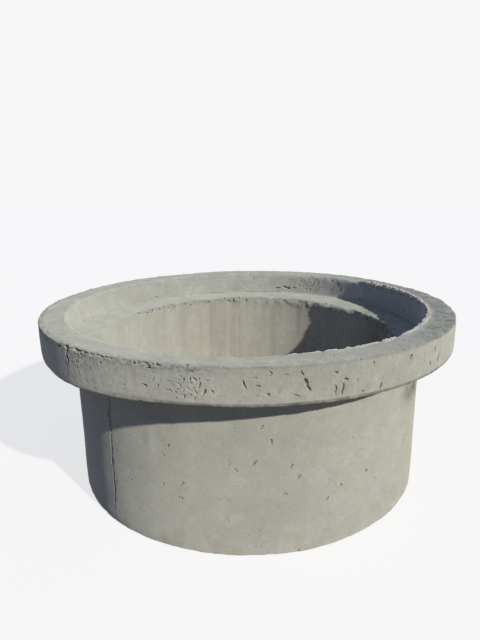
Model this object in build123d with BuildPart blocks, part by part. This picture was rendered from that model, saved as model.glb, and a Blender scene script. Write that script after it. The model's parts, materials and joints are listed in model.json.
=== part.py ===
"""Reinforced concrete ring: a plain body with a wide collar that is rebated
inside to take the plain foot of the next ring. One casting, standing on z = 0,
its axis on Z. All sizes in millimetres.
"""
import os

from build123d import *

# Driving sizes
bore_diameter = 1000.0
wall_thickness = 100.0
laying_height = 500.0      # foot to ledge, what one ring adds to a stack
socket_depth = 90.0        # ledge to rim
joint_gap = 12.0           # between the socket wall and the next ring's foot
collar_overhang = 100.0    # collar beyond the body
collar_face_height = 100.0
shoulder_drop = 30.0       # fall of the collar's underside towards the body

# Edge rounds and coves
foot_round = 6.0
shoulder_cove = 15.0
heel_round = 9.0           # lower outer edge of the collar
rim_round = 6.0
mouth_round = 14.0         # inner edge of the rim
root_cove = 6.0            # where the socket wall meets the ledge
nose_round = 22.0          # ledge into bore

# Sizes that follow
bore_radius = bore_diameter / 2
body_radius = bore_radius + wall_thickness
socket_radius = body_radius + joint_gap
collar_radius = body_radius + collar_overhang
total_height = laying_height + socket_depth
heel_height = total_height - collar_face_height
shoulder_height = heel_height - shoulder_drop

# Section corners (radius, height, edge radius), inner foot edge first
corners = [
    (bore_radius, 0.0, foot_round),
    (body_radius, 0.0, foot_round),
    (body_radius, shoulder_height, shoulder_cove),
    (collar_radius, heel_height, heel_round),
    (collar_radius, total_height, rim_round),
    (socket_radius, total_height, mouth_round),
    (socket_radius, laying_height, root_cove),
    (bore_radius, laying_height, nose_round),
]

with BuildPart() as ring:
    with BuildSketch(Plane.XZ) as section:
        with BuildLine():
            Polyline(*[(r, z) for r, z, edge in corners], close=True)
        make_face()
        for r, z, edge in corners:
            fillet(section.vertices().sort_by_distance((r, z))[0], radius=edge)
    revolve(axis=Axis.Z)

ring.part.label = "concrete_ring"
os.makedirs("parts", exist_ok=True)
export_step(ring.part, "parts/concrete_ring.step")
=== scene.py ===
"""Looks of the reinforced concrete ring: the turned casting with its mould waves, blow holes, crumbled
edges and mould seams, its concrete, and the stage. Laid out as a Blender add-on and run as a script.
Lengths are metres. Angles round the ring are counted from the front (-Y) towards the right (+X).
"""

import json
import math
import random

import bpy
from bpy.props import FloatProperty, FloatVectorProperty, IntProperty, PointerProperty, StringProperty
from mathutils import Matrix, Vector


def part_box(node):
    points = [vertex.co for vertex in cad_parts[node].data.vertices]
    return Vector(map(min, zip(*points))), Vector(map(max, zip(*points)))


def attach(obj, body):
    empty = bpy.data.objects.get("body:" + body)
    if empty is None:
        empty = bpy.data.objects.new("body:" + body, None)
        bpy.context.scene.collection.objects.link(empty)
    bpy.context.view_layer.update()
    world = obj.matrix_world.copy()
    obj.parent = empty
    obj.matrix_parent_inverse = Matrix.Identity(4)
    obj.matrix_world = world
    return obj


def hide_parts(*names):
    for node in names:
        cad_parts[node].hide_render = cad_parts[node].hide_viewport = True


bl_info = {
    "name": "Cast Concrete Ring",
    "version": (1, 0, 0),
    "blender": (4, 5, 0),
    "location": "View3D > Sidebar > Concrete Ring",
    "description": "Dresses the packed concrete ring with its cast surface, flaws, concrete and stage",
    "category": "Object",
}

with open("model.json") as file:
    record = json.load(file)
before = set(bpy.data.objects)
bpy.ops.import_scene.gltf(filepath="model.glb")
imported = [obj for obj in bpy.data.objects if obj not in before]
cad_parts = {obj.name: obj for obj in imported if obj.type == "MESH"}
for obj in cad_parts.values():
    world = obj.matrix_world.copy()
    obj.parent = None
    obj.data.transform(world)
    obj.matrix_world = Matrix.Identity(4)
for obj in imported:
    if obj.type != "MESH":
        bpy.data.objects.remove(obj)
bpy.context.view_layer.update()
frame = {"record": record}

MM = 0.001
NODE = "concrete_ring"
MOUNTS = {mount["name"]: mount for mount in frame["record"]["mounts"]}
RING_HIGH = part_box(NODE)[1]
# Distance between the points along a crack, a crumbled edge or a ridge of mortar
STRIP_STEP = 3.5 * MM
# What each row of the turned section carries besides its point
ROW_VALUES = ("crumble", "hand", "holes", "root", "lip")


class RingSizes(bpy.types.PropertyGroup):
    """Sizes of the turned section"""

    bore_radius: FloatProperty(
        name="Bore radius", description="Inside of the shaft",
        default=MOUNTS["bore"]["dims"]["r_mm"] * MM, unit="LENGTH")
    body_radius: FloatProperty(
        name="Body radius", description="Outside of the plain body",
        default=MOUNTS["spigot"]["dims"]["r_mm"] * MM, unit="LENGTH")
    socket_radius: FloatProperty(
        name="Socket radius", description="Inside of the collar, round the foot of the next ring",
        default=MOUNTS["socket"]["dims"]["r_mm"] * MM, unit="LENGTH")
    collar_radius: FloatProperty(
        name="Collar radius", description="Outside of the collar", default=RING_HIGH.x, unit="LENGTH")
    height: FloatProperty(
        name="Height", description="From the foot to the rim", default=RING_HIGH.z, unit="LENGTH")
    ledge_height: FloatProperty(
        name="Ledge height", description="Where the next ring stands",
        default=MOUNTS["ledge"]["pos_m"][2], unit="LENGTH")
    collar_face: FloatProperty(
        name="Collar face", description="Height of the collar's outer face", default=100 * MM, unit="LENGTH")
    shoulder_drop: FloatProperty(
        name="Shoulder drop", description="Fall of the collar's underside", default=30 * MM, unit="LENGTH")
    foot_round: FloatProperty(
        name="Foot round", description="Edges of the foot", default=6 * MM, unit="LENGTH")
    shoulder_cove: FloatProperty(
        name="Shoulder cove", description="Between body and collar", default=15 * MM, unit="LENGTH")
    heel_round: FloatProperty(
        name="Heel round", description="Lower edge of the collar", default=9 * MM, unit="LENGTH")
    rim_round: FloatProperty(
        name="Rim round", description="Outer edge of the rim", default=6 * MM, unit="LENGTH")
    mouth_round: FloatProperty(
        name="Mouth round", description="Inner edge of the rim", default=14 * MM, unit="LENGTH")
    root_cove: FloatProperty(
        name="Root cove", description="Between socket wall and ledge", default=6 * MM, unit="LENGTH")
    nose_round: FloatProperty(
        name="Nose round", description="From the ledge into the bore", default=22 * MM, unit="LENGTH")
    columns: IntProperty(
        name="Columns", description="Steps of the turning", default=360, min=24)


class RingFlaws(bpy.types.PropertyGroup):
    """What casting and handling left on the surface"""

    out_of_round: FloatProperty(
        name="Out of round", description="Slow swelling of the mould", default=2.5 * MM, unit="LENGTH")
    mould_waves: FloatProperty(
        name="Mould waves", description="Dents and bulges of the mould's sheet",
        default=1.0 * MM, unit="LENGTH")
    trowel_marks: FloatProperty(
        name="Trowel marks", description="Unevenness of the hand-finished rim",
        default=1.3 * MM, unit="LENGTH")
    rough_rim: FloatProperty(
        name="Rough rim", description="Unevenness of the rim's right side", default=2.2 * MM, unit="LENGTH")
    crumble: FloatProperty(
        name="Crumble", description="How far weak edges have crumbled", default=7.0 * MM, unit="LENGTH")
    root_mortar: FloatProperty(
        name="Root mortar", description="Mortar that fills the root on the left",
        default=10.0 * MM, unit="LENGTH")
    lip: FloatProperty(
        name="Lip", description="Mortar that hangs over into the bore", default=8.0 * MM, unit="LENGTH")
    wide_collar: FloatProperty(
        name="Wide collar", description="Swelling of the collar to the left and right",
        default=3.0 * MM, unit="LENGTH")
    low_heel: FloatProperty(
        name="Low heel", description="How much deeper the collar is on the left",
        default=16.0 * MM, unit="LENGTH")
    run_angle: FloatProperty(
        name="Run angle", description="Place of the run of cement, from the front",
        default=math.radians(-26.5), subtype="ANGLE")
    run_place: FloatProperty(
        name="Run place", description="Height of the run's middle", default=328 * MM, unit="LENGTH")
    run_height: FloatProperty(
        name="Run", description="How far the run stands out", default=4.5 * MM, unit="LENGTH")
    mould_step: FloatProperty(
        name="Mould step", description="How far the inner mould's right section stood into the bore",
        default=9.0 * MM, unit="LENGTH")
    hole_density: FloatProperty(
        name="Blow holes", description="Most blow holes on a square metre", default=900.0, min=0.0)
    seam_angle: FloatProperty(
        name="Seam angle", description="Place of the mould's first joint, from the front",
        default=math.radians(-41.5), subtype="ANGLE")
    seam_width: FloatProperty(
        name="Seam width", description="Width of the crack along a mould joint",
        default=9.0 * MM, unit="LENGTH")
    seam_wander: FloatProperty(
        name="Seam wander", description="How far the crack strays", default=16.0 * MM, unit="LENGTH")
    seed: IntProperty(
        name="Seed", description="Start of every random draw", default=11, min=0)


class ConcreteColours(bpy.types.PropertyGroup):
    """Colours of the concrete, as sRGB hex values"""

    paste: StringProperty(name="Paste", description="Cement skin off the mould", default="#c6c1ad")
    # Real damp clouds in the skin, and painted shade on the inside faces on the left
    damp_and_shade: StringProperty(name="Damp", description="Denser, damper clouds in the skin", default="#b1af9e")
    bore: StringProperty(name="Bore", description="Skin of the oiled inner mould", default="#cdc6b1")
    # Besides the oil runs in the bore, this colour paints shade on the body towards its right
    run: StringProperty(name="Runs", description="Runs of mould oil down the bore", default="#a79e88")
    milk: StringProperty(name="Milk", description="Thin cement milk on the rim", default="#a1a08f")
    worn: StringProperty(name="Worn", description="Bare rough side of the rim", default="#797b74")
    wash: StringProperty(name="Wash", description="Thin lime wash on the socket's wall", default="#d0d0c2")
    ledge: StringProperty(name="Ledge", description="Dry dusty skin of the ledge", default="#acaa98")
    stain: StringProperty(name="Stain", description="Soil splashed up at the foot", default="#a58f6c")
    # Painted warm shade for the collar's rounded lower edge, which turns down away from the key light; the
    # same colour darkens a strip on the body under the collar at the far right
    heel_shade: StringProperty(
        name="Heel shade", description="Dirt that gathers under the collar's edge", default="#645d4c")
    dark_sand: StringProperty(name="Dark sand", description="Dark grains in the skin", default="#77766f")
    pale_sand: StringProperty(name="Pale sand", description="Pale grains in the skin", default="#dcd9cd")
    mortar: StringProperty(name="Mortar", description="Broken mortar left at the mouth", default="#cbc8bb")
    hole: StringProperty(name="Hole", description="Rough inside of a void", default="#aeaa9d")


class StageSettings(bpy.types.PropertyGroup):
    """Camera, light and floor"""

    camera_place: FloatVectorProperty(
        name="Camera", description="Place of the camera", default=(0.0, -1.788, 0.983), subtype="TRANSLATION")
    camera_tilt: FloatProperty(
        name="Tilt", description="Up from straight down", default=math.radians(75.47), subtype="ANGLE")
    camera_pan: FloatProperty(
        name="Pan", description="Turn to the left", default=math.radians(0.72), subtype="ANGLE")
    camera_roll: FloatProperty(
        name="Roll", description="Turn about the view", default=math.radians(-0.75), subtype="ANGLE")
    lens: FloatProperty(
        name="Lens", description="Focal length in millimetres", default=28.47, subtype="DISTANCE_CAMERA")
    key_angle: FloatProperty(
        name="Key angle", description="Place of the key light, from the front",
        default=math.radians(42.0), subtype="ANGLE")
    key_height: FloatProperty(
        name="Key height", description="Above the horizon", default=math.radians(31.7), subtype="ANGLE")
    key_strength: FloatProperty(
        name="Key strength", description="Power of the key light", default=2.98, min=0.0)
    key_softness: FloatProperty(
        name="Key softness", description="Width of the key light as seen from the ring",
        default=math.radians(1.5), subtype="ANGLE")
    fill_strength: FloatProperty(
        name="Fill strength", description="Light from all round", default=0.30, min=0.0)
    fill: StringProperty(name="Fill", description="Colour of the light from all round", default="#a2bdff")
    backdrop: StringProperty(name="Backdrop", description="Colour behind the ring", default="#f7f7f7")
    floor: StringProperty(name="Floor", description="Colour of the floor", default="#959089")
    floor_glow: FloatProperty(
        name="Floor glow", description="What lifts the floor to the backdrop's white for the camera",
        default=0.80)


def linear(hex_colour):
    """An sRGB hex value as linear RGBA."""
    shares = [int(hex_colour[place:place + 2], 16) / 255 for place in (1, 3, 5)]
    shares = [share / 12.92 if share <= 0.04045 else ((share + 0.055) / 1.055) ** 2.4 for share in shares]
    return (*shares, 1.0)


def from_front(angle, radius, height):
    """The point at an angle round the ring, counted from the front towards the right."""
    return Vector((radius * math.sin(angle), -radius * math.cos(angle), height))


def add_node(tree, kind, inputs=None, **settings):
    """Adds a node, sets it, fills or links its inputs by name or number, and gives its outputs by name.
    A list of sockets goes into an input that takes several.
    """
    node = tree.nodes.new(kind)
    for name, value in settings.items():
        setattr(node, name, value)
    sockets = [socket for socket in node.inputs if socket.enabled]
    for key, value in (inputs or {}).items():
        socket = sockets[key] if isinstance(key, int) else next(s for s in sockets if s.name == key)
        if isinstance(value, bpy.types.NodeSocket):
            tree.links.new(value, socket)
        elif isinstance(value, list):
            for source in value:
                tree.links.new(source, socket)
        else:
            socket.default_value = value
    return {socket.name: socket for socket in node.outputs if socket.enabled}


def start_tree(name, numbers=(), counts=(), places=()):
    """A geometry tree that takes a mesh and the named numbers, counts and places, and its inputs by name."""
    tree = bpy.data.node_groups.new(name, "GeometryNodeTree")
    tree.interface.new_socket("Mesh", in_out="INPUT", socket_type="NodeSocketGeometry")
    for kind, labels in (("Float", numbers), ("Int", counts), ("Vector", places)):
        for label in labels:
            tree.interface.new_socket(label, in_out="INPUT", socket_type="NodeSocket" + kind)
    tree.interface.new_socket("Mesh", in_out="OUTPUT", socket_type="NodeSocketGeometry")
    return tree, add_node(tree, "NodeGroupInput")


def end_tree(tree, mesh, material, cut=None, join=None):
    """Cuts bits out of the mesh or joins some to it, and closes the tree with real faces in the material."""
    if cut is not None:
        mesh = add_node(tree, "GeometryNodeMeshBoolean", {
            0: mesh, 1: cut}, operation="DIFFERENCE", solver="MANIFOLD")["Mesh"]
    if join is not None:
        mesh = add_node(tree, "GeometryNodeMeshBoolean", {
            0: [mesh, join]}, operation="UNION", solver="MANIFOLD")["Mesh"]
    real = add_node(tree, "GeometryNodeRealizeInstances", {"Geometry": mesh})["Geometry"]
    dressed = add_node(tree, "GeometryNodeSetMaterial", {"Geometry": real, "Material": material})["Geometry"]
    add_node(tree, "NodeGroupOutput", {0: dressed})
    return tree


def use_tree(piece, tree, values):
    """Puts the tree on the piece as a modifier, with all its inputs set by their identifiers."""
    modifier = piece.modifiers.new(tree.name, "NODES")
    modifier.node_group = tree
    for item in tree.interface.items_tree:
        if item.in_out == "INPUT" and item.name != "Mesh":
            modifier[item.identifier] = values[item.name]


def patches(tree, vector, size, detail, low, high, least, most, zone=None, roughness=0.5):
    """Patches of a real size in millimetres: a noise that goes from least to most as its values go from low
    to high, inside a zone or all over.
    """
    noise = add_node(tree, "ShaderNodeTexNoise", {
        "Vector": vector, "Scale": 1 / (size * MM), "Detail": detail, "Roughness": roughness})["Fac"]
    share = add_node(tree, "ShaderNodeMapRange", {
        "Value": noise, "From Min": low, "From Max": high, "To Min": least, "To Max": most})["Result"]
    if zone is not None:
        share = add_node(tree, "ShaderNodeMath", {0: share, 1: zone}, operation="MULTIPLY")["Value"]
    return share


def stray(tree, place, size, reach):
    """Moves to all sides by a noise of a real size in millimetres."""
    noise = add_node(tree, "ShaderNodeTexNoise", {
        "Vector": place, "Scale": 1 / (size * MM), "Detail": 3.0})["Color"]
    centred = add_node(tree, "ShaderNodeVectorMath", {
        0: noise, 1: (0.5, 0.5, 0.5)}, operation="SUBTRACT")["Vector"]
    return add_node(tree, "ShaderNodeVectorMath", {0: centred, "Scale": reach}, operation="SCALE")["Vector"]


def ring_point(tree, turn, radius, height):
    """The point at an angle round the ring, as from_front gives it, in a tree."""
    sine = add_node(tree, "ShaderNodeMath", {0: turn}, operation="SINE")["Value"]
    cosine = add_node(tree, "ShaderNodeMath", {0: turn}, operation="COSINE")["Value"]
    front = add_node(tree, "ShaderNodeMath", {0: cosine, 1: -1.0}, operation="MULTIPLY")["Value"]
    out = add_node(tree, "ShaderNodeCombineXYZ", {"X": sine, "Y": front})["Vector"]
    wall = add_node(tree, "ShaderNodeVectorMath", {0: out, "Scale": radius}, operation="SCALE")["Vector"]
    lift = add_node(tree, "ShaderNodeCombineXYZ", {"Z": height})["Vector"]
    return add_node(tree, "ShaderNodeVectorMath", {0: wall, 1: lift})["Vector"]


# The turned section

def corner_arc(before, corner, after, radius, steps):
    """Points of the arc that rounds a corner of the section."""
    back, on = (before - corner).normalized(), (after - corner).normalized()
    half = back.angle(on) / 2
    centre = corner + (back + on).normalized() * (radius / math.sin(half))
    reach = radius / math.tan(half)
    first, last = corner + back * reach - centre, corner + on * reach - centre
    return [centre + first.slerp(last, step / steps).normalized() * radius for step in range(steps + 1)]


def section_corners(sizes):
    """Corners of the section from the inner edge of the foot: place, rounding, steps of the arc and how much
    the edge crumbles. Then, for the run to the next corner, the step of its rows, how much they crowd towards
    its start, and its shares of hand finish and of holes.
    """
    heel = sizes.height - sizes.collar_face
    shoulder = heel - sizes.shoulder_drop
    return [
        (sizes.bore_radius, 0.0, sizes.foot_round, 3, 0.2, 30 * MM, 1.0, 0.2, 0.1),
        (sizes.body_radius, 0.0, sizes.foot_round, 3, 0.3, 22 * MM, 1.0, 0.0, 0.65),
        (sizes.body_radius, shoulder, sizes.shoulder_cove, 4, 0.0, 14 * MM, 1.0, 0.0, 0.3),
        (sizes.collar_radius, heel, sizes.heel_round, 4, 0.25, 9 * MM, 1.0, 0.0, 0.8),
        (sizes.collar_radius, sizes.height, sizes.rim_round, 4, 0.35, 7 * MM, 1.0, 1.0, 0.6),
        (sizes.socket_radius, sizes.height, sizes.mouth_round, 6, 0.8, 8 * MM, 1.0, 0.1, 0.9),
        (sizes.socket_radius, sizes.ledge_height, sizes.root_cove, 2, 0.0, 9 * MM, 1.0, 0.6, 0.35),
        (sizes.bore_radius, sizes.ledge_height, sizes.nose_round, 6, 1.0, 27 * MM, 1.6, 0.0, 0.2),
    ]


def section_rows(sizes):
    """Rows of the turning: a point of the section, and its share of each of ROW_VALUES."""
    crumble_reach, root_reach = 12 * MM, 15 * MM
    root = Vector((sizes.socket_radius, sizes.ledge_height))
    corners = section_corners(sizes)
    places = [Vector(corner[:2]) for corner in corners]
    arcs = [
        corner_arc(places[number - 1], place, places[(number + 1) % len(places)], *corners[number][2:4])
        for number, place in enumerate(places)
    ]
    rows = []
    for number, arc in enumerate(arcs):
        crumble, step, crowding, hand, holes = corners[number][4:]
        following = (number + 1) % len(arcs)
        rows += [(point, crumble, hand, holes) for point in arc]
        start, end = arc[-1], arcs[following][0]
        steps = math.ceil((end - start).length / step)
        for at in range(1, steps):
            point = start.lerp(end, (at / steps) ** crowding)
            weak = crumble * math.exp(-(point - start).length / crumble_reach)
            weak += corners[following][4] * math.exp(-(point - end).length / crumble_reach)
            rows.append((point, weak, hand, holes))
    return [
        (*row, math.exp(-(row[0] - root).length / root_reach), lip_share(sizes, row[0]))
        for row in rows
    ]


def lip_share(sizes, point):
    """How far the lip moves a point of the section towards the bore, as a share of its reach: the rounded
    nose is filled to an edge, and the wall falls back to the bore below it.
    """
    depth, fall, filling, slack = 50 * MM, 30 * MM, 14 * MM, 0.1 * MM
    off_wall = point.x - sizes.bore_radius
    if off_wall > sizes.nose_round + slack:
        return 0.0
    share = (point.y - sizes.ledge_height + depth) / fall
    return min(max(share, 0.0), 1.0) * (1.0 + off_wall / filling)


def section_mesh(sizes):
    """The closed section as edges in the XZ plane, with its rows' values as attributes."""
    rows = section_rows(sizes)
    mesh = bpy.data.meshes.new("ring_section")
    edges = [(row, (row + 1) % len(rows)) for row in range(len(rows))]
    mesh.from_pydata([(row[0].x, 0.0, row[0].y) for row in rows], edges, [])
    for column, name in enumerate(ROW_VALUES, start=1):
        mesh.attributes.new(name, "FLOAT", "POINT").data.foreach_set("value", [row[column] for row in rows])
    return mesh


def turned_ring_tree(material):
    """Turns the section about Z: a grid whose rows are the section's points and whose columns go round."""
    tree, given = start_tree("Turned ring", counts=("Columns",))
    section = given["Mesh"]
    rows = add_node(tree, "GeometryNodeAttributeDomainSize", {"Geometry": section})["Point Count"]
    columns_and_end = add_node(tree, "ShaderNodeMath", {0: given["Columns"], 1: 1.0})["Value"]
    rows_and_end = add_node(tree, "ShaderNodeMath", {0: rows, 1: 1.0})["Value"]
    grid = add_node(tree, "GeometryNodeMeshGrid", {
        "Size X": 1.0, "Size Y": 1.0, "Vertices X": columns_and_end, "Vertices Y": rows_and_end})["Mesh"]
    here = add_node(tree, "GeometryNodeInputPosition")["Position"]
    place = add_node(tree, "ShaderNodeSeparateXYZ", {0: here})
    turn = add_node(tree, "ShaderNodeMath", {0: place["X"], 1: math.tau}, operation="MULTIPLY")["Value"]
    share = add_node(tree, "ShaderNodeMath", {0: place["Y"], 1: 0.5})["Value"]
    row = add_node(tree, "ShaderNodeMath", {0: share, 1: rows}, operation="MULTIPLY")["Value"]
    row = add_node(tree, "ShaderNodeMath", {0: row}, operation="ROUND")["Value"]
    row = add_node(tree, "ShaderNodeMath", {0: row, 1: rows}, operation="MODULO")["Value"]
    for name in ROW_VALUES:
        value = add_node(tree, "GeometryNodeInputNamedAttribute", {"Name": name})["Attribute"]
        value = add_node(tree, "GeometryNodeSampleIndex", {
            "Geometry": section, "Value": value, "Index": row})["Value"]
        grid = add_node(tree, "GeometryNodeStoreNamedAttribute", {
            "Geometry": grid, "Name": name, "Value": value})["Geometry"]
    point = add_node(tree, "GeometryNodeSampleIndex", {
        "Geometry": section, "Value": here, "Index": row}, data_type="FLOAT_VECTOR")["Value"]
    point = add_node(tree, "ShaderNodeSeparateXYZ", {0: point})
    cosine = add_node(tree, "ShaderNodeMath", {0: turn}, operation="COSINE")["Value"]
    sine = add_node(tree, "ShaderNodeMath", {0: turn}, operation="SINE")["Value"]
    turned = add_node(tree, "ShaderNodeCombineXYZ", {
        "X": add_node(tree, "ShaderNodeMath", {0: point["X"], 1: sine}, operation="MULTIPLY")["Value"],
        "Y": add_node(tree, "ShaderNodeMath", {0: point["X"], 1: cosine}, operation="MULTIPLY")["Value"],
        "Z": point["Z"]})["Vector"]
    ring = add_node(tree, "GeometryNodeSetPosition", {"Geometry": grid, "Position": turned})["Geometry"]
    ring = add_node(tree, "GeometryNodeMergeByDistance", {"Geometry": ring, "Distance": 0.1 * MM})["Geometry"]
    ring = add_node(tree, "GeometryNodeFlipFaces", {"Mesh": ring})["Mesh"]
    return end_tree(tree, ring, material)


def cast_relief_tree(material):
    """Moves the surface in and out: mould swelling and waves, trowel marks, the rough side of the rim,
    crumbled edges, mortar that fills the root on the left, and a run of cement down the body. Moves it
    sideways as well: the lip that hangs over into the bore at the back, the step of the inner mould behind on
    the right, and a collar that is wider from left to right and deeper on the left.
    """
    tree, given = start_tree("Cast relief", numbers=(
        "Out of round", "Mould waves", "Trowel marks", "Rough rim", "Crumble", "Root mortar", "Run", "Lip",
        "Wide collar", "Low heel", "Mould step"), places=("Run place",))
    place = add_node(tree, "GeometryNodeInputPosition")["Position"]
    along = add_node(tree, "ShaderNodeSeparateXYZ", {0: place})
    aside = add_node(tree, "ShaderNodeMath", {0: along["X"]}, operation="ABSOLUTE")["Value"]
    flat = add_node(tree, "ShaderNodeVectorMath", {
        0: place, 1: (1.0, 1.0, 0.0)}, operation="MULTIPLY")["Vector"]
    radius = add_node(tree, "ShaderNodeVectorMath", {0: flat}, operation="LENGTH")["Value"]
    outward = add_node(tree, "ShaderNodeVectorMath", {0: flat}, operation="NORMALIZE")["Vector"]
    normal = add_node(tree, "GeometryNodeInputNormal")["Normal"]
    weights = {}
    for name in ROW_VALUES:
        weights[name] = add_node(tree, "GeometryNodeInputNamedAttribute", {"Name": name})["Attribute"]
    # Where a weight fades in: what is measured, where it is nothing and where it is full, in millimetres
    for name, measure, nothing, full in (
        ("right", along["X"], 300, 600),
        ("left", along["X"], -150, -450),
        ("to the left", along["X"], -120, -500),
        ("sides", aside, 250, 600),
        ("back", along["Y"], -150, 150),
        ("front", along["Y"], -180, -480),
        ("collar", radius, 615, 690),
        ("heel", along["Z"], 580, 495),
        ("bore", radius, 520, 505),
        ("upper half", along["Z"], 300, 380),
        ("step's left end", along["X"], 298, 330),
        ("step's right end", along["Y"], 187, 265),
    ):
        weights[name] = add_node(tree, "ShaderNodeMapRange", {
            "Value": measure, "From Min": nothing * MM, "From Max": full * MM})["Result"]
    # The run is an upright tongue
    reach = Vector((14, 14, 45)) * MM
    away = add_node(tree, "ShaderNodeVectorMath", {
        0: place, 1: given["Run place"]}, operation="SUBTRACT")["Vector"]
    away = add_node(tree, "ShaderNodeVectorMath", {0: away, 1: reach}, operation="DIVIDE")["Vector"]
    away = add_node(tree, "ShaderNodeVectorMath", {0: away}, operation="LENGTH")["Value"]
    weights["run"] = add_node(tree, "ShaderNodeMapRange", {
        "Value": away, "To Min": 1.0, "To Max": 0.0}, interpolation_type="SMOOTHSTEP")["Result"]
    down = (0.0, 0.0, -1.0)
    offset = (0.0, 0.0, 0.0)
    # Layer, its direction, size and detail of its noise, noise from and to, least and most, weights
    for label, way, size, detail, low, high, least, most, masks in (
        ("Out of round", normal, 550, 0.0, 0.2, 0.8, -1.0, 1.0, ()),
        ("Mould waves", normal, 110, 1.0, 0.2, 0.8, -1.0, 1.0, ()),
        ("Trowel marks", normal, 60, 1.0, 0.2, 0.8, -1.0, 1.0, ("hand",)),
        ("Rough rim", normal, 24, 3.0, 0.3, 0.7, -1.0, 0.6, ("hand", "right")),
        ("Crumble", normal, 28, 3.0, 0.4, 0.75, 0.0, -1.0, ("crumble",)),
        ("Root mortar", normal, 90, 2.0, 0.2, 0.6, 0.5, 1.0, ("root", "left")),
        ("Run", normal, 40, 1.0, 0.2, 0.8, 0.6, 1.0, ("run",)),
        ("Lip", outward, 34, 3.0, 0.3, 0.55, -0.6, -1.0, ("lip", "back")),
        ("Wide collar", outward, 200, 1.0, 0.2, 0.8, 0.8, 1.0, ("collar", "sides")),
        ("Low heel", down, 120, 1.0, 0.2, 0.8, 0.8, 1.0, ("collar", "heel", "to the left", "front")),
        ("Mould step", outward, 60, 1.0, 0.2, 0.8, -0.8, -1.0, (
            "step's left end", "step's right end", "bore", "upper half")),
    ):
        layer = patches(tree, place, size, detail, low, high, least, most, given[label])
        for mask in masks:
            layer = add_node(tree, "ShaderNodeMath", {
                0: layer, 1: weights[mask]}, operation="MULTIPLY")["Value"]
        move = add_node(tree, "ShaderNodeVectorMath", {0: way, "Scale": layer}, operation="SCALE")["Vector"]
        offset = add_node(tree, "ShaderNodeVectorMath", {0: move, 1: offset})["Vector"]
    cast = add_node(tree, "GeometryNodeSetPosition", {
        "Geometry": given["Mesh"], "Offset": offset})["Geometry"]
    # The foot stands on the floor, with nothing under it: only the height has a lower limit near the ring
    limits = (-10.0, -10.0, 0.0)
    above = add_node(tree, "ShaderNodeVectorMath", {0: place, 1: limits}, operation="MAXIMUM")["Vector"]
    standing = add_node(tree, "GeometryNodeSetPosition", {"Geometry": cast, "Position": above})["Geometry"]
    return end_tree(tree, standing, material)


def ragged_balls(tree, points, turned, scale, steps, raggedness, picked=True):
    """A ragged ball on each picked point, with its faces marked as void."""
    ball = add_node(tree, "GeometryNodeMeshIcoSphere", {"Radius": 1.0, "Subdivisions": steps})["Mesh"]
    balls = add_node(tree, "GeometryNodeInstanceOnPoints", {
        "Points": points, "Selection": picked, "Instance": ball, "Rotation": turned, "Scale": scale,
    })["Instances"]
    balls = add_node(tree, "GeometryNodeRealizeInstances", {"Geometry": balls})["Geometry"]
    place = add_node(tree, "GeometryNodeInputPosition")["Position"]
    ragged = add_node(tree, "GeometryNodeSetPosition", {
        "Geometry": balls, "Offset": stray(tree, place, size=7, reach=raggedness)})["Geometry"]
    return add_node(tree, "GeometryNodeStoreNamedAttribute", {
        "Geometry": ragged, "Name": "void", "Value": 1.0}, domain="FACE")["Geometry"]


def blow_holes_tree(material):
    """Air that stayed against the mould: ragged dishes scattered in clusters over the faces, each cut by a
    ball whose middle stands off the face by a share of its size.
    """
    tree, given = start_tree("Blow holes", numbers=(
        "Density", "Spacing", "Smallest", "Largest", "Stand off", "Raggedness",
    ), counts=("Ball steps", "Seed"))
    place = add_node(tree, "GeometryNodeInputPosition")["Position"]
    holes = add_node(tree, "GeometryNodeInputNamedAttribute", {"Name": "holes"})["Attribute"]
    clusters = patches(
        tree, place, size=140, detail=2.0, low=0.38, high=0.68, least=0.12, most=1.0, zone=holes)
    points = add_node(tree, "GeometryNodeDistributePointsOnFaces", {
        "Mesh": given["Mesh"], "Distance Min": given["Spacing"], "Density Max": given["Density"],
        "Density Factor": clusters, "Seed": given["Seed"]}, distribute_method="POISSON")
    chance = add_node(tree, "FunctionNodeRandomValue", {"Seed": given["Seed"]})["Value"]
    rarely_large = add_node(tree, "ShaderNodeMath", {0: chance, 1: 3.0}, operation="POWER")["Value"]
    size = add_node(tree, "ShaderNodeMapRange", {
        "Value": rarely_large, "To Min": given["Smallest"], "To Max": given["Largest"]})["Result"]
    shape = add_node(tree, "FunctionNodeRandomValue", {
        "Min": (0.9, 0.6, 0.5), "Max": (1.6, 1.1, 0.9), "Seed": given["Seed"]},
        data_type="FLOAT_VECTOR")["Value"]
    scale = add_node(tree, "ShaderNodeVectorMath", {0: shape, "Scale": size}, operation="SCALE")["Vector"]
    off = add_node(tree, "ShaderNodeMath", {0: size, 1: given["Stand off"]}, operation="MULTIPLY")["Value"]
    off = add_node(tree, "ShaderNodeVectorMath", {
        0: points["Normal"], "Scale": off}, operation="SCALE")["Vector"]
    middles = add_node(tree, "GeometryNodeSetPosition", {
        "Geometry": points["Points"], "Offset": off})["Geometry"]
    spin = add_node(tree, "FunctionNodeRandomValue", {"Max": math.tau, "Seed": given["Seed"]})["Value"]
    spin = add_node(tree, "FunctionNodeAxisAngleToRotation", {
        "Axis": (0.0, 0.0, 1.0), "Angle": spin})["Rotation"]
    turned = add_node(tree, "FunctionNodeRotateRotation", {
        "Rotation": points["Rotation"], "Rotate By": spin}, rotation_space="LOCAL")["Rotation"]
    balls = ragged_balls(tree, middles, turned, scale, given["Ball steps"], given["Raggedness"])
    return end_tree(tree, given["Mesh"], material, cut=balls)


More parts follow.
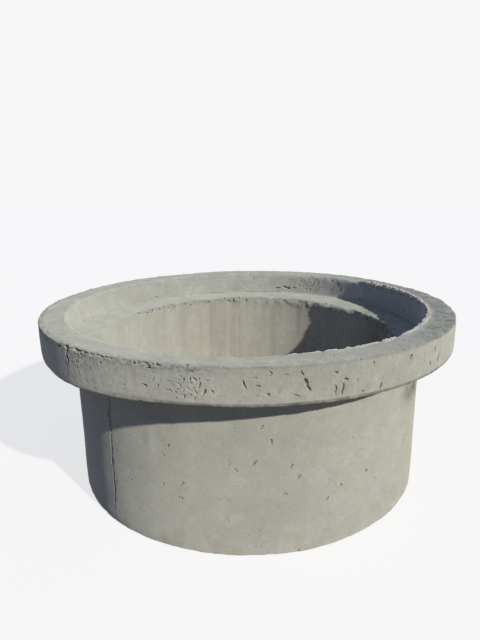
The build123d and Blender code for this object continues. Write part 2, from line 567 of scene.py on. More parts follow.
def edge_chips_tree(material):
    """Chips along a round edge, in the stretches that a slow noise picks."""
    tree, given = start_tree("Edge chips", numbers=(
        "Radius", "Height", "First angle", "Last angle", "Smallest", "Largest", "Spread", "Share",
    ), counts=("Count", "Seed"))
    most_jitter, chip_steps = 0.6, 2
    jitter = add_node(tree, "FunctionNodeRandomValue", {"Max": most_jitter, "Seed": given["Seed"]})["Value"]
    place = add_node(tree, "ShaderNodeMath", {
        0: add_node(tree, "GeometryNodeInputIndex")["Index"], 1: jitter})["Value"]
    place = add_node(tree, "ShaderNodeMath", {0: place, 1: given["Count"]}, operation="DIVIDE")["Value"]
    turn = add_node(tree, "ShaderNodeMapRange", {
        "Value": place, "To Min": given["First angle"], "To Max": given["Last angle"]})["Result"]
    edge = ring_point(tree, turn, given["Radius"], given["Height"])
    aside = add_node(tree, "FunctionNodeRandomValue", {
        "Min": (-1.0, -1.0, -1.0), "Max": (1.0, 1.0, 1.0), "Seed": given["Seed"]},
        data_type="FLOAT_VECTOR")["Value"]
    aside = add_node(tree, "ShaderNodeVectorMath", {
        0: aside, "Scale": given["Spread"]}, operation="SCALE")["Vector"]
    at = add_node(tree, "ShaderNodeVectorMath", {0: edge, 1: aside})["Vector"]
    points = add_node(tree, "GeometryNodePoints", {"Count": given["Count"], "Position": at})["Points"]
    here = add_node(tree, "GeometryNodeInputPosition")["Position"]
    weak = patches(
        tree, here, size=160, detail=1.0, low=0.35, high=0.6, least=0.0, most=1.0, zone=given["Share"])
    draw = add_node(tree, "FunctionNodeRandomValue", {"Seed": given["Seed"]})["Value"]
    picked = add_node(tree, "ShaderNodeMath", {0: draw, 1: weak}, operation="LESS_THAN")["Value"]
    shape = add_node(tree, "FunctionNodeRandomValue", {
        "Min": (0.6, 0.6, 0.6), "Max": (1.2, 1.2, 1.2), "Seed": given["Seed"]},
        data_type="FLOAT_VECTOR")["Value"]
    size = add_node(tree, "ShaderNodeMapRange", {
        "Value": jitter, "From Max": most_jitter, "To Min": given["Smallest"],
        "To Max": given["Largest"]})["Result"]
    scale = add_node(tree, "ShaderNodeVectorMath", {0: shape, "Scale": size}, operation="SCALE")["Vector"]
    turned = add_node(tree, "FunctionNodeRandomValue", {
        "Max": (math.tau, math.tau, math.tau), "Seed": given["Seed"]}, data_type="FLOAT_VECTOR")["Value"]
    turned = add_node(tree, "FunctionNodeEulerToRotation", {"Euler": turned})["Rotation"]
    balls = ragged_balls(tree, points, turned, scale, chip_steps, given["Largest"], picked)
    return end_tree(tree, given["Mesh"], material, cut=balls)


def placed_voids_tree(material, marks):
    """The larger voids, one at each mark, along the mark's direction and at its size."""
    tree, given = start_tree("Placed voids", numbers=("Raggedness",), counts=("Ball steps",))
    points = add_node(tree, "GeometryNodeObjectInfo", {"Object": marks})["Geometry"]
    place = add_node(tree, "GeometryNodeInputPosition")["Position"]
    outward = add_node(tree, "ShaderNodeVectorMath", {
        0: place, 1: (1.0, 1.0, 0.0)}, operation="MULTIPLY")["Vector"]
    along, size = (
        add_node(tree, "GeometryNodeInputNamedAttribute", {
            "Name": name}, data_type="FLOAT_VECTOR")["Attribute"]
        for name in ("along", "size")
    )
    turned = add_node(tree, "FunctionNodeAxesToRotation", {
        "Primary Axis": outward, "Secondary Axis": along}, primary_axis="Z", secondary_axis="X")["Rotation"]
    balls = ragged_balls(tree, points, turned, size, given["Ball steps"], given["Raggedness"])
    return end_tree(tree, given["Mesh"], material, cut=balls)


def ragged_strip(tree, line, thickness, mark):
    """A closed tube of uneven thickness along a line of edges, thin at its ends, with its faces marked."""
    end_share, end_girth, profile_points = 0.15, 0.15, 6
    place = add_node(tree, "GeometryNodeInputPosition")["Position"]
    start = add_node(tree, "GeometryNodeSplineParameter")["Factor"]
    end = add_node(tree, "ShaderNodeMath", {0: 1.0, 1: start}, operation="SUBTRACT")["Value"]
    nearest = add_node(tree, "ShaderNodeMath", {0: start, 1: end}, operation="MINIMUM")["Value"]
    taper = add_node(tree, "ShaderNodeMapRange", {
        "Value": nearest, "From Max": end_share, "To Min": end_girth})["Result"]
    girth = patches(tree, place, size=14, detail=2.0, low=0.3, high=0.7, least=0.3, most=1.9, zone=taper)
    half = add_node(tree, "ShaderNodeMath", {0: thickness, 1: 0.5}, operation="MULTIPLY")["Value"]
    profile = add_node(tree, "GeometryNodeCurvePrimitiveCircle", {
        "Resolution": profile_points, "Radius": half})["Curve"]
    path = add_node(tree, "GeometryNodeMeshToCurve", {"Mesh": line})["Curve"]
    tube = add_node(tree, "GeometryNodeCurveToMesh", {
        "Curve": path, "Profile Curve": profile, "Scale": girth, "Fill Caps": True})["Mesh"]
    return add_node(tree, "GeometryNodeStoreNamedAttribute", {
        "Geometry": tube, "Name": mark, "Value": 1.0}, domain="FACE")["Geometry"]


def mould_seam_tree(material):
    """A ragged upright crack where two halves of the mould met."""
    tree, given = start_tree("Mould seam", numbers=(
        "Low angle", "High angle", "Radius", "Low", "High", "Width", "Wander"))
    low, high = (
        ring_point(tree, given[label + " angle"], given["Radius"], given[label]) for label in ("Low", "High"))
    aside = add_node(tree, "ShaderNodeCombineXYZ", {
        "X": add_node(tree, "ShaderNodeMath", {0: given["High angle"]}, operation="COSINE")["Value"],
        "Y": add_node(tree, "ShaderNodeMath", {0: given["High angle"]}, operation="SINE")["Value"]})["Vector"]
    length = add_node(tree, "ShaderNodeMath", {
        0: given["High"], 1: given["Low"]}, operation="SUBTRACT")["Value"]
    count = add_node(tree, "ShaderNodeMath", {0: length, 1: STRIP_STEP}, operation="DIVIDE")["Value"]
    line = add_node(tree, "GeometryNodeMeshLine", {
        "Count": count, "Start Location": low, "Offset": high}, mode="END_POINTS")["Mesh"]
    place = add_node(tree, "GeometryNodeInputPosition")["Position"]
    surface = add_node(tree, "GeometryNodeProximity", {
        "Geometry": given["Mesh"], "Sample Position": place}, target_element="FACES")["Position"]
    sway = patches(
        tree, place, size=26, detail=4.0, low=0.0, high=1.0, least=-1.0, most=1.0, zone=given["Wander"])
    sway = add_node(tree, "ShaderNodeVectorMath", {0: aside, "Scale": sway}, operation="SCALE")["Vector"]
    line = add_node(tree, "GeometryNodeSetPosition", {
        "Geometry": line, "Position": surface, "Offset": sway})["Geometry"]
    return end_tree(tree, given["Mesh"], material, cut=ragged_strip(tree, line, given["Width"], "void"))


def edge_strip_tree(material, name, mark):
    """A ragged strip along part of a round edge: a crumbled groove to cut or a ridge of mortar to join."""
    tree, given = start_tree(name, numbers=(
        "Radius", "Height", "First angle", "Last angle", "Width", "Wander"))
    sweep = add_node(tree, "ShaderNodeMath", {
        0: given["Last angle"], 1: given["First angle"]}, operation="SUBTRACT")["Value"]
    length = add_node(tree, "ShaderNodeMath", {0: sweep, 1: given["Radius"]}, operation="MULTIPLY")["Value"]
    count = add_node(tree, "ShaderNodeMath", {0: length, 1: STRIP_STEP}, operation="DIVIDE")["Value"]
    line = add_node(tree, "GeometryNodeMeshLine", {"Count": count})["Mesh"]
    share = add_node(tree, "ShaderNodeMath", {
        0: add_node(tree, "GeometryNodeInputIndex")["Index"], 1: count}, operation="DIVIDE")["Value"]
    turn = add_node(tree, "ShaderNodeMapRange", {
        "Value": share, "To Min": given["First angle"], "To Max": given["Last angle"]})["Result"]
    edge = ring_point(tree, turn, given["Radius"], given["Height"])
    sway = stray(tree, edge, size=26, reach=given["Wander"])
    line = add_node(tree, "GeometryNodeSetPosition", {
        "Geometry": line, "Position": edge, "Offset": sway})["Geometry"]
    strip = ragged_strip(tree, line, given["Width"], mark)
    if mark == "mortar":
        return end_tree(tree, given["Mesh"], material, join=strip)
    return end_tree(tree, given["Mesh"], material, cut=strip)


def smooth_faces_tree(material):
    """Keeps the ring, without closed bubbles inside it, smooth but for the edges of voids and breaks."""
    tree, given = start_tree("Smooth faces", numbers=("Sharp angle",), counts=("Fewest points",))
    island = add_node(tree, "GeometryNodeInputMeshIsland")["Island Index"]
    points = add_node(tree, "GeometryNodeAccumulateField", {"Value": 1.0, "Group ID": island})["Total"]
    bubble = add_node(tree, "ShaderNodeMath", {
        0: points, 1: given["Fewest points"]}, operation="LESS_THAN")["Value"]
    ring = add_node(tree, "GeometryNodeDeleteGeometry", {
        "Geometry": given["Mesh"], "Selection": bubble})["Geometry"]
    angle = add_node(tree, "GeometryNodeInputMeshEdgeAngle")["Unsigned Angle"]
    sharp = add_node(tree, "ShaderNodeMath", {
        0: angle, 1: given["Sharp angle"]}, operation="GREATER_THAN")["Value"]
    smooth = add_node(tree, "GeometryNodeSetShadeSmooth", {
        "Geometry": ring, "Shade Smooth": True}, domain="FACE")["Geometry"]
    smooth = add_node(tree, "GeometryNodeSetShadeSmooth", {
        "Geometry": smooth, "Selection": sharp, "Shade Smooth": False}, domain="EDGE")["Geometry"]
    return end_tree(tree, smooth, material)


# Voids that were large enough to be given a place of their own

# By wall: degrees from the front, height, length, width in millimetres, tilt of the length in degrees
VOIDS = {
    "collar": (
        (-46.0, 579, 14, 9, 20), (-33.5, 497, 9, 5, 0), (-25.5, 524, 9, 5, 10), (-20.5, 530, 14, 7, -15),
        (-18.5, 548, 15, 5, 75), (-17.0, 547, 14, 5, 80), (-0.5, 549, 21, 6, -75), (2.0, 543, 10, 7, 0),
        (-13.0, 542, 15, 7, -50), (-11.3, 533, 13, 5, -20), (-9.9, 528, 16, 6, -60), (-9.0, 543, 17, 6, 75),
        (-8.2, 523, 22, 9, 80), (-11.0, 519, 11, 5, -30),
        (1.5, 563, 10, 5, 0), (4.0, 521, 10, 8, 30), (4.5, 573, 13, 8, 80), (7.5, 570, 7, 5, 0),
        (9.5, 515, 14, 5, -10), (10.5, 572, 14, 6, -60), (11.5, 540, 34, 10, -60), (17.5, 564, 7, 6, 0),
        (17.5, 520, 24, 3, 85), (19.5, 542, 13, 10, 0), (19.0, 519, 26, 4, 80), (23.5, 507, 7, 6, 0),
        (28.0, 510, 15, 5, 70), (36.5, 565, 14, 8, 10), (44.5, 525, 10, 7, 70), (46.5, 558, 13, 6, 85),
        (48.5, 530, 22, 6, 80),
    ),
    "body": (
        (-34.0, 176, 11, 8, 0), (-30.5, 226, 12, 7, -40), (-22.5, 332, 9, 7, 0), (-22.5, 287, 9, 7, 0),
        (-21.0, 317, 15, 10, 20), (-17.5, 210, 20, 11, 40), (-18.0, 164, 16, 9, 0), (-4.5, 284, 12, 8, 60),
        (-3.0, 266, 13, 8, -60), (1.5, 290, 20, 10, 40), (3.5, 390, 14, 9, 60), (6.0, 347, 13, 9, 60),
        (9.5, 192, 16, 8, 0), (11.0, 273, 14, 10, 30), (13.0, 238, 14, 9, 40), (21.5, 155, 10, 8, 60),
        (25.5, 185, 10, 8, 0), (34.0, 205, 10, 8, 0),
    ),
    "socket": (
        (165.5, 522, 22, 9, -5), (161.5, 526, 32, 12, 10), (158.0, 529, 16, 8, 20), (137.5, 562, 22, 13, 60),
        (136.0, 543, 20, 12, 80), (126.5, 514, 16, 10, 0), (117.5, 532, 14, 9, 30), (100.0, 525, 18, 9, 10),
        (-138.5, 512, 26, 5, 15), (-93.5, 514, 9, 7, 90),
    ),
}
# Patches where the stones stand bare: wall, degrees from the front, height of the middle, width and height in
# millimetres, count of slits
HONEYCOMBS = (
    ("collar", -12.0, 534, 60, 30, 19),
    ("collar", -39.0, 556, 45, 28, 12),
    ("collar", 100.0, 540, 90, 40, 12),
    ("collar", -130.0, 530, 110, 50, 14),
    ("socket", 152.0, 550, 120, 40, 22),
    ("socket", 138.0, 553, 40, 50, 8),
    ("body", -165.0, 120, 130, 60, 10),
)
# Shortest and longest slit of such a patch, in millimetres
SLITS = (4, 13)


def void_mark(wall, angle, height, length, width, tilt):
    """Place, direction and half sizes of the ball that cuts a void: its middle stands off the wall by the
    depth of the void, so it is twice as deep and a little wider. A wall is its radius, the side of the open
    air and the depth of its voids as a share of their width.
    """
    radius, side, depth = wall
    aside = Vector((math.cos(angle), math.sin(angle), 0.0))
    along = aside * math.cos(tilt) + Vector((0.0, 0.0, 1.0)) * math.sin(tilt)
    widening = 1 / math.sqrt(3)
    half_sizes = Vector((length * widening, width * widening, 2 * depth * width))
    return from_front(angle, radius + side * depth * width, height), along, half_sizes


def honeycomb_marks(wall, angle, height, wide, tall, count, draw, taken):
    """Marks of a patch of slits at all tilts, which meet neither each other nor the taken ones."""
    spread, slimmest, widest, tries = 0.4, 0.3, 0.6, 30
    marks = []
    for _ in range(count * tries):
        length = draw.uniform(*SLITS) * MM
        mark = void_mark(
            wall, angle + draw.gauss(0.0, spread) * wide / wall[0], height + draw.gauss(0.0, spread) * tall,
            length, length * draw.uniform(slimmest, widest), draw.uniform(0.0, math.pi))
        if all((mark[0] - other[0]).length > mark[2].x + other[2].x for other in taken + marks):
            marks.append(mark)
        if len(marks) == count:
            break
    return marks


def mark_points(name, marks):
    """An object whose points carry the places, directions and sizes of voids."""
    mesh = bpy.data.meshes.new(name)
    mesh.from_pydata([mark[0] for mark in marks], [], [])
    for column, value in ((1, "along"), (2, "size")):
        shares = [share for mark in marks for share in mark[column]]
        mesh.attributes.new(value, "FLOAT_VECTOR", "POINT").data.foreach_set("vector", shares)
    return bpy.data.objects.new(name, mesh)


def void_marks(sizes, seed):
    """Three lots of marks, cut one after the other: each larger void is made of a part from each lot, out of
    line with the others, and each honeycomb of slits from all three, so that their edges fray.
    """
    draw = random.Random(seed)
    walls = {
        "collar": (sizes.collar_radius, 1, 0.7),
        "body": (sizes.body_radius, 1, 0.4),
        "socket": (sizes.socket_radius, -1, 0.7),
    }
    # Of a part: its shift along the void, stray across it, shares of length and width, stray of its tilt
    shift, sideways, lengths, widths, twist = 0.25, 0.15, (0.55, 0.8), (0.6, 1.1), 0.3
    lots = []
    for part in (-1, 0, 1):
        marks = []
        for name, voids in VOIDS.items():
            wall = walls[name]
            for angle, height, length, width, tilt in voids:
                turn = math.radians(tilt)
                along = part * shift * length * MM
                across = draw.gauss(0.0, sideways) * width * MM
                marks.append(void_mark(
                    wall,
                    math.radians(angle) + (along * math.cos(turn) - across * math.sin(turn)) / wall[0],
                    height * MM + along * math.sin(turn) + across * math.cos(turn),
                    length * draw.uniform(*lengths) * MM,
                    width * draw.uniform(*widths) * MM,
                    turn + draw.gauss(0.0, twist)))
        for name, angle, height, wide, tall, count in HONEYCOMBS:
            marks += honeycomb_marks(
                walls[name], math.radians(angle), height * MM, wide * MM, tall * MM, count, draw, marks)
        lots.append(mark_points("void_marks", marks))
    return lots


# Concrete

def concrete_zones(tree, place, sizes):
    """Where the concrete looks different, as shares from nothing to full, by name. No name is all over."""
    along = add_node(tree, "ShaderNodeSeparateXYZ", {0: place})
    flat = add_node(tree, "ShaderNodeCombineXYZ", {"X": along["X"], "Y": along["Y"]})["Vector"]
    radius = add_node(tree, "ShaderNodeVectorMath", {0: flat}, operation="LENGTH")["Value"]
    heel = sizes.height - sizes.collar_face
    zones = {None: None}
    # Where each zone fades in: what is measured, where it is nothing, where it is full
    for name, measure, nothing, full in (
        ("bore", radius, sizes.bore_radius + 14 * MM, sizes.bore_radius + 3 * MM),
        ("rim", along["Z"], sizes.height - 9 * MM, sizes.height - 3 * MM),
        ("inner", radius, sizes.socket_radius - 1 * MM, sizes.socket_radius - 6 * MM),
        ("above ledge", along["Z"], sizes.ledge_height - 26 * MM, sizes.ledge_height - 6 * MM),
        ("foot", along["Z"], 120 * MM, 5 * MM),
        ("outer", radius, sizes.body_radius + 40 * MM, sizes.collar_radius - 20 * MM),
        ("below heel", along["Z"], heel + 11 * MM, heel + 5 * MM),
        ("body top", along["Z"], heel - 180 * MM, heel - 110 * MM),
        ("far right", along["X"], sizes.body_radius - 165 * MM, sizes.body_radius - 80 * MM),
        ("far left", along["X"], -120 * MM, -520 * MM),
        ("off the left", along["X"], -420 * MM, -150 * MM),
        ("outer rim", radius, sizes.socket_radius + 18 * MM, sizes.socket_radius + 36 * MM),
        ("right", along["X"], 330 * MM, 600 * MM),
        ("left", along["X"], 40 * MM, -150 * MM),
        ("left half", along["X"], -150 * MM, -480 * MM),
        ("inside", radius, sizes.socket_radius + 16 * MM, sizes.socket_radius + 4 * MM),
        ("edge", radius, sizes.collar_radius - 18 * MM, sizes.collar_radius - 8 * MM),
        ("top band", along["Z"], sizes.height - 30 * MM, sizes.height - 8 * MM),
    ):
        zones[name] = add_node(tree, "ShaderNodeMapRange", {
            "Value": measure, "From Min": nothing, "From Max": full,
        }, interpolation_type="SMOOTHSTEP")["Result"]
    # Zones that lie where two others meet
    for name, first, second in (
        ("ledge", "inner", "above ledge"),
        ("socket", "inside", "above ledge"),
        # Painted warm shade along the collar's rounded lower edge, fading out towards the left
        ("heel band", "outer", "below heel"),
        ("heel shade", "heel band", "off the left"),
        ("right rim", "rim", "right"),
        ("worn rim", "right rim", "outer rim"),
        ("left rim", "rim", "far left"),
        ("top edge", "edge", "top band"),
        # Darker along the collar's crumbled top edge on the left
        ("dark left edge", "top edge", "left"),
        ("below collar", "body top", "below heel"),
        # A strip on the body just under the collar at the far right, darkened
        ("dark right strip", "below collar", "far right"),
        # Painted shade: darker towards the right, below the collar
        ("right body shade", "right", "below heel"),
        # Painted shade on the inside faces on the left, which face the key light
        ("left inside shade", "inside", "left half"),
    ):
        zones[name] = add_node(tree, "ShaderNodeMath", {
            0: zones[first], 1: zones[second]}, operation="MULTIPLY")["Value"]
    for name in ("void", "mortar"):
        zones[name] = add_node(tree, "ShaderNodeAttribute", attribute_name=name)["Fac"]
    return zones


def concrete_skin(tree, place, zones, colours):
    """Colour of the concrete: coats over the paste, each in patches of its own size."""
    # Runs are drawn out along the height
    upright = add_node(tree, "ShaderNodeVectorMath", {
        0: place, 1: (1.0, 1.0, 0.06)}, operation="MULTIPLY")["Vector"]
    skin = linear(colours.paste)
    # Real sand is finer than the 3 and 4 mm of the grains here, and it wouldn't show in the render.
    # Coat, zone, coordinates, size and detail of the noise, noise from and to, least and most cover
    for coat, zone, vector, size, detail, low, high, least, most in (
        (colours.damp_and_shade, None, place, 190, 4.0, 0.35, 0.70, 0.0, 0.8),
        (colours.bore, "bore", place, 120, 2.0, 0.30, 0.70, 0.7, 0.9),
        (colours.run, "bore", upright, 38, 3.0, 0.44, 0.75, 0.0, 0.65),
        (colours.pale_sand, "bore", upright, 60, 4.0, 0.50, 0.80, 0.0, 0.4),
        (colours.milk, "rim", place, 80, 3.0, 0.30, 0.65, 0.4, 0.95),
        (colours.worn, "worn rim", place, 26, 4.0, 0.35, 0.65, 0.3, 1.0),
        (colours.worn, "left rim", place, 45, 4.0, 0.30, 0.70, 0.05, 0.3),
        (colours.wash, "socket", place, 70, 4.0, 0.35, 0.65, 0.35, 0.9),
        (colours.damp_and_shade, "socket", upright, 45, 4.0, 0.45, 0.75, 0.0, 0.4),
        # Painted shade that darkens the inside faces on the left, which face the key light
        (colours.damp_and_shade, "left inside shade", place, 60, 3.0, 0.30, 0.70, 0.4, 0.75),
        (colours.ledge, "ledge", place, 60, 3.0, 0.30, 0.65, 0.5, 1.0),
        (colours.stain, "foot", place, 70, 4.0, 0.48, 0.75, 0.0, 0.55),
        # Painted warm shade on the collar's rounded lower edge, where it turns down away from the key light
        (colours.heel_shade, "heel shade", place, 40, 3.0, 0.30, 0.60, 0.5, 0.95),
        # Painted shade, darkening the body and bore towards the right with the runs' colour
        (colours.run, "right body shade", upright, 90, 3.0, 0.30, 0.70, 0.25, 0.45),
        # Darkens a strip on the body just under the collar at the far right, in the heel shade's colour
        (colours.heel_shade, "dark right strip", upright, 30, 3.0, 0.30, 0.55, 0.6, 1.0),
        (colours.pale_sand, "outer", place, 22, 4.0, 0.52, 0.80, 0.0, 0.45),
        (colours.dark_sand, "outer", place, 26, 4.0, 0.56, 0.85, 0.0, 0.4),
        (colours.damp_and_shade, None, place, 34, 4.0, 0.40, 0.80, 0.0, 0.45),
        (colours.damp_and_shade, None, place, 12, 4.0, 0.42, 0.72, 0.0, 0.45),
        (colours.pale_sand, None, place, 46, 4.0, 0.50, 0.85, 0.0, 0.35),
        (colours.dark_sand, None, place, 3, 2.0, 0.55, 0.80, 0.0, 0.45),
        (colours.pale_sand, None, place, 4, 2.0, 0.58, 0.80, 0.0, 0.35),
        # Darker along the collar's crumbled top edge on the left
        (colours.dark_sand, "dark left edge", place, 11, 4.0, 0.42, 0.62, 0.0, 0.7),
        (colours.hole, "void", place, 6, 2.0, 0.30, 0.70, 0.2, 0.7),
        (colours.mortar, "mortar", place, 8, 2.0, 0.30, 0.60, 0.5, 1.0),
    ):
        cover = patches(tree, vector, size, detail, low, high, least, most, zones[zone], roughness=0.6)
        skin = add_node(tree, "ShaderNodeMix", {
            "Factor": cover, "A": skin, "B": linear(coat)}, data_type="RGBA")["Result"]
    return skin


def concrete_grain(tree, place, zones):
    """Bump of the sand grain, the pin holes and the wrinkled skin of the collar, too fine for the mesh. The
    grain is coarser than real sand, so that it shows in the render.
    """
    relief = 0.0
    # Zone, size and detail of the noise, noise from and to, least and most height
    for zone, size, detail, low, high, least, most in (
        (None, 4, 3.0, 0.0, 1.0, 0.0, 1.0),
        (None, 9, 1.0, 0.22, 0.30, -1.2, 0.0),
        ("outer", 20, 4.0, 0.2, 0.8, 0.0, 3.0),
        ("rim", 14, 3.0, 0.2, 0.8, 0.0, 2.0),
        ("worn rim", 9, 4.0, 0.3, 0.7, 0.0, 3.0),
    ):
        layer = patches(tree, place, size, detail, low, high, least, most, zones[zone], roughness=0.6)
        relief = add_node(tree, "ShaderNodeMath", {0: relief, 1: layer})["Value"]
    return add_node(tree, "ShaderNodeBump", {
        "Strength": 0.6, "Distance": 0.9 * MM, "Height": relief})["Normal"]


def cast_concrete(colours, sizes):
    """Vibrated ready-mix concrete out of a steel mould: a matt cement skin, cloudy where it dried unevenly,
    with sand grain, warm and streaked where the inner mould was oiled, thin grey milk on the trowelled faces.
    """
    material = bpy.data.materials.new("cast_concrete")
    material.use_nodes = True
    tree = material.node_tree
    tree.nodes.clear()
    place = add_node(tree, "ShaderNodeTexCoord")["Object"]
    zones = concrete_zones(tree, place, sizes)
    # Open pores and dust leave hardly any of the sheen that the index of refraction would give
    shader = add_node(tree, "ShaderNodeBsdfPrincipled", {
        "Base Color": concrete_skin(tree, place, zones, colours),
        "Roughness": patches(tree, place, size=50, detail=2.0, low=0.3, high=0.7, least=0.82, most=0.94),
        "IOR": 1.5, "Specular IOR Level": 0.12, "Diffuse Roughness": 1.0,
        "Normal": concrete_grain(tree, place, zones)})["BSDF"]
    add_node(tree, "ShaderNodeOutputMaterial", {"Surface": shader})
    return material


class RING_OT_cast_ring(bpy.types.Operator):
    """Makes the ring: turned section, cast relief, voids, breaks and seams, in concrete"""

    bl_idname = "ring.cast_ring"
    bl_label = "Cast Ring"

    def execute(self, context):
        scene = context.scene
        sizes, flaws = scene.ring_sizes, scene.ring_flaws
        concrete = cast_concrete(scene.ring_colours, sizes)
        blank = bpy.data.objects.new("ring_blank", section_mesh(sizes))
        void_lots = void_marks(sizes, flaws.seed)
        helpers = (blank, *void_lots)
        for helper in helpers:
            scene.collection.objects.link(helper)
        use_tree(blank, turned_ring_tree(concrete), {"Columns": sizes.columns})
        use_tree(blank, cast_relief_tree(concrete), {
            "Out of round": flaws.out_of_round, "Mould waves": flaws.mould_waves,
            "Trowel marks": flaws.trowel_marks, "Rough rim": flaws.rough_rim, "Crumble": flaws.crumble,
            "Root mortar": flaws.root_mortar, "Lip": flaws.lip, "Wide collar": flaws.wide_collar,
            "Low heel": flaws.low_heel, "Run": flaws.run_height, "Mould step": flaws.mould_step,
            "Run place": from_front(flaws.run_angle, sizes.body_radius, flaws.run_place)})
        holes = blow_holes_tree(concrete)
        # Middles of holes lie at least this many of the largest radius apart
        apart = 3.2
        # Share of the holes, smallest and largest radius in millimetres, steps of the ball, step of the seed
        for share, smallest, largest, steps, seed in ((0.7, 1.8, 4.0, 1, 1), (0.3, 3.0, 7.0, 2, 2)):
            use_tree(blank, holes, {
                "Density": flaws.hole_density * share, "Spacing": largest * apart * MM,
                "Smallest": smallest * MM, "Largest": largest * MM, "Stand off": 0.3,
                "Raggedness": largest * MM, "Ball steps": steps, "Seed": flaws.seed + seed})
        for marks in void_lots:
            use_tree(blank, placed_voids_tree(concrete, marks), {"Raggedness": 7 * MM, "Ball steps": 2})
        self.break_edges(blank, sizes, flaws, concrete)
        self.open_seams(blank, sizes, flaws, concrete)
        use_tree(blank, smooth_faces_tree(concrete), {"Sharp angle": math.radians(38), "Fewest points": 5000})
        graph = context.evaluated_depsgraph_get()
        mesh = bpy.data.meshes.new_from_object(blank.evaluated_get(graph), depsgraph=graph)
        mesh.name = "cast_ring"
        for helper in helpers:
            bpy.data.objects.remove(helper)
        if not mesh.polygons:
            raise RuntimeError("the ring came out empty")
        piece = bpy.data.objects.new("cast_ring", mesh)
        scene.collection.objects.link(piece)
        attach(piece, "root")
        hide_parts(NODE)
        return {"FINISHED"}

    def break_edges(self, blank, sizes, flaws, concrete):
        """Chips and crumbles the edges that handling reaches, and leaves mortar along the mouth."""
        chips = edge_chips_tree(concrete)
        groove = edge_strip_tree(concrete, "Crumbled edge", "void")
        ridge = edge_strip_tree(concrete, "Mortar ridge", "mortar")
        heel = sizes.height - sizes.collar_face
        # Radius, height, first and last degree, count, smallest, largest and spread in millimetres, share
        for number, (radius, height, first, last, count, smallest, largest, spread, share) in enumerate((
            (sizes.collar_radius, sizes.height, -180, 180, 130, 3, 7, 4, 0.7),
            (sizes.collar_radius, sizes.height - 6 * MM, -50, -10, 48, 3, 7, 8, 1.6),
            (sizes.socket_radius + 3 * MM, sizes.height - 3 * MM, -180, 180, 130, 3, 6, 3, 0.5),
            (sizes.bore_radius - 3 * MM, sizes.ledge_height - 10 * MM, 100, 262, 120, 3, 7, 7, 1.7),
            (sizes.bore_radius - 6 * MM, sizes.ledge_height - 20 * MM, 100, 262, 120, 3, 6, 7, 1.7),
            (sizes.bore_radius + 2 * MM, sizes.ledge_height - 8 * MM, -98, 100, 80, 2, 5, 6, 0.8),
            (sizes.collar_radius, heel, -180, 180, 100, 3, 6, 3, 0.35),
        )):
            use_tree(blank, chips, {
                "Radius": radius, "Height": height, "First angle": math.radians(first),
                "Last angle": math.radians(last), "Count": count, "Smallest": smallest * MM,
                "Largest": largest * MM, "Spread": spread * MM, "Share": share, "Seed": flaws.seed + number})
        # Tree, radius, height, first and last degree, width and wander in millimetres
        for tree, radius, height, first, last, width, wander in (
            (groove, sizes.collar_radius, sizes.height - 4 * MM, -47, -12, 8, 12),
            (groove, sizes.collar_radius, sizes.height - 3 * MM, -10, 5, 5, 8),
            (groove, sizes.socket_radius - 1 * MM, sizes.ledge_height + 2 * MM, 150, 222, 3.5, 3),
            (ridge, sizes.socket_radius + 7 * MM, sizes.height - 5 * MM, 6, 60, 9, 9),
            (ridge, sizes.socket_radius + 8 * MM, sizes.height - 2 * MM, 46, 110, 12, 9),
            (ridge, sizes.socket_radius + 6 * MM, sizes.height - 1 * MM, 80, 128, 15, 8),
        ):
            use_tree(blank, tree, {
                "Radius": radius, "Height": height, "First angle": math.radians(first),
                "Last angle": math.radians(last), "Width": width * MM, "Wander": wander * MM})

    def open_seams(self, blank, sizes, flaws, concrete):
        """Cracks the skin along the mould's two joints."""
        crack = mould_seam_tree(concrete)
        heel = sizes.height - sizes.collar_face
        # Radius, heights of both ends, degrees from the seam's angle at both ends
        for radius, low, high, low_turn, high_turn in (
            (sizes.body_radius, 8 * MM, heel - sizes.shoulder_drop - 10 * MM, -0.5, 0.5),
            (sizes.collar_radius, heel + 4 * MM, sizes.height - 4 * MM, -2.2, -0.8),
        ):
            for side in (0.0, math.pi):
                use_tree(blank, crack, {
                    "Low angle": flaws.seam_angle + math.radians(low_turn) + side,
                    "High angle": flaws.seam_angle + math.radians(high_turn) + side, "Radius": radius,
                    "Low": low, "High": high, "Width": flaws.seam_width, "Wander": flaws.seam_wander})


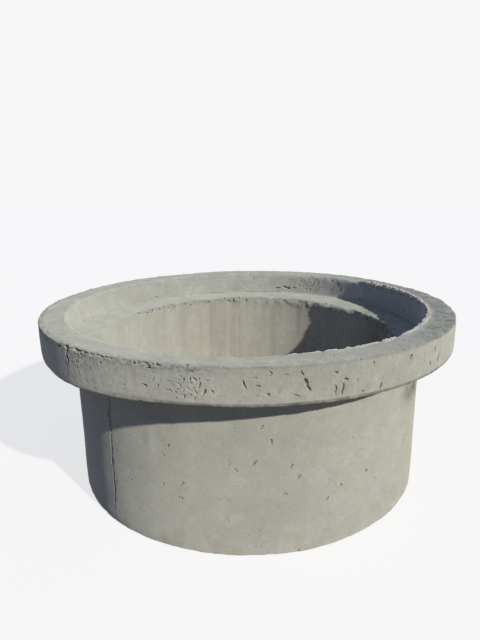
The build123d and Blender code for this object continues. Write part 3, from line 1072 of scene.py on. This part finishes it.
class RING_OT_stage(bpy.types.Operator):
    """Sets up the floor, the light and the camera"""

    bl_idname = "ring.stage"
    bl_label = "Stage"

    def execute(self, context):
        scene = context.scene
        stage = scene.ring_stage
        scene.view_settings.view_transform = "Standard"
        self.lay_floor(scene, stage)
        self.light_world(scene, stage)
        key = bpy.data.lights.new("key", "SUN")
        key.energy = stage.key_strength
        key.angle = stage.key_softness
        lamp = bpy.data.objects.new("key", key)
        towards = from_front(stage.key_angle, math.cos(stage.key_height), math.sin(stage.key_height))
        lamp.rotation_euler = towards.to_track_quat("Z", "Y").to_euler()
        scene.collection.objects.link(lamp)
        lens = bpy.data.cameras.new("camera")
        lens.lens = stage.lens
        camera = bpy.data.objects.new("camera", lens)
        camera.matrix_world = (
            Matrix.Translation(stage.camera_place)
            @ Matrix.Rotation(stage.camera_pan, 4, "Z")
            @ Matrix.Rotation(stage.camera_tilt, 4, "X")
            @ Matrix.Rotation(stage.camera_roll, 4, "Z"))
        scene.collection.objects.link(camera)
        scene.camera = camera
        return {"FINISHED"}

    def seeing_rays(self, tree):
        """Full for rays that show the plain background: from the camera, mirrored or through glass."""
        rays = add_node(tree, "ShaderNodeLightPath")
        seeing = rays["Is Camera Ray"]
        for other in ("Is Glossy Ray", "Is Transmission Ray"):
            seeing = add_node(tree, "ShaderNodeMath", {
                0: seeing, 1: rays[other]}, operation="MAXIMUM")["Value"]
        return seeing

    def lay_floor(self, scene, stage):
        """A plain pale sheet that takes the shadow."""
        reach, level = 60.0, -0.2 * MM
        corners = [(x * reach, y * reach, level) for x, y in ((-1, -1), (1, -1), (1, 1), (-1, 1))]
        mesh = bpy.data.meshes.new("floor")
        mesh.from_pydata(corners, [], [(0, 1, 2, 3)])
        material = bpy.data.materials.new("floor_paper")
        material.use_nodes = True
        tree = material.node_tree
        tree.nodes.clear()
        paper = add_node(tree, "ShaderNodeBsdfDiffuse", {"Color": linear(stage.floor)})["BSDF"]
        glow = add_node(tree, "ShaderNodeEmission", {
            "Color": linear(stage.backdrop), "Strength": add_node(tree, "ShaderNodeMath", {
                0: self.seeing_rays(tree), 1: stage.floor_glow}, operation="MULTIPLY")["Value"]})["Emission"]
        both = add_node(tree, "ShaderNodeAddShader", {0: paper, 1: glow})["Shader"]
        add_node(tree, "ShaderNodeOutputMaterial", {"Surface": both})
        mesh.materials.append(material)
        floor = bpy.data.objects.new("floor", mesh)
        scene.collection.objects.link(floor)

    def light_world(self, scene, stage):
        """Even light from all round, and the pale backdrop that the camera sees."""
        world = bpy.data.worlds.new("studio")
        world.use_nodes = True
        tree = world.node_tree
        tree.nodes.clear()
        fill = add_node(tree, "ShaderNodeBackground", {
            "Color": linear(stage.fill), "Strength": stage.fill_strength})["Background"]
        seen = add_node(tree, "ShaderNodeBackground", {
            "Color": linear(stage.backdrop), "Strength": 1.0})["Background"]
        sky = add_node(tree, "ShaderNodeMixShader", {0: self.seeing_rays(tree), 1: fill, 2: seen})["Shader"]
        add_node(tree, "ShaderNodeOutputWorld", {"Surface": sky})
        scene.world = world


class RING_PT_panel(bpy.types.Panel):
    """Lists the ring's sizes, flaws and colours, and the stage"""

    bl_idname = "RING_PT_panel"
    bl_label = "Concrete Ring"
    bl_space_type = "VIEW_3D"
    bl_region_type = "UI"
    bl_category = "Concrete Ring"

    def draw(self, context):
        layout = self.layout
        for group in GROUPS:
            settings = getattr(context.scene, group)
            box = layout.box()
            for name in settings.__annotations__:
                box.prop(settings, name)
        layout.operator(RING_OT_cast_ring.bl_idname)
        layout.operator(RING_OT_stage.bl_idname)


GROUPS = {
    "ring_sizes": RingSizes,
    "ring_flaws": RingFlaws,
    "ring_colours": ConcreteColours,
    "ring_stage": StageSettings,
}
CLASSES = (*GROUPS.values(), RING_OT_cast_ring, RING_OT_stage, RING_PT_panel)


def register():
    """Registers the classes and puts the settings on the scene."""
    for item in CLASSES:
        bpy.utils.register_class(item)
    for name, group in GROUPS.items():
        setattr(bpy.types.Scene, name, PointerProperty(type=group))


def unregister():
    """Takes the settings and the classes away again."""
    for name in GROUPS:
        delattr(bpy.types.Scene, name)
    for item in reversed(CLASSES):
        bpy.utils.unregister_class(item)


def main():
    """Makes the ring and the stage."""
    register()
    bpy.ops.ring.cast_ring()
    bpy.ops.ring.stage()


if __name__ == "__main__":
    main()
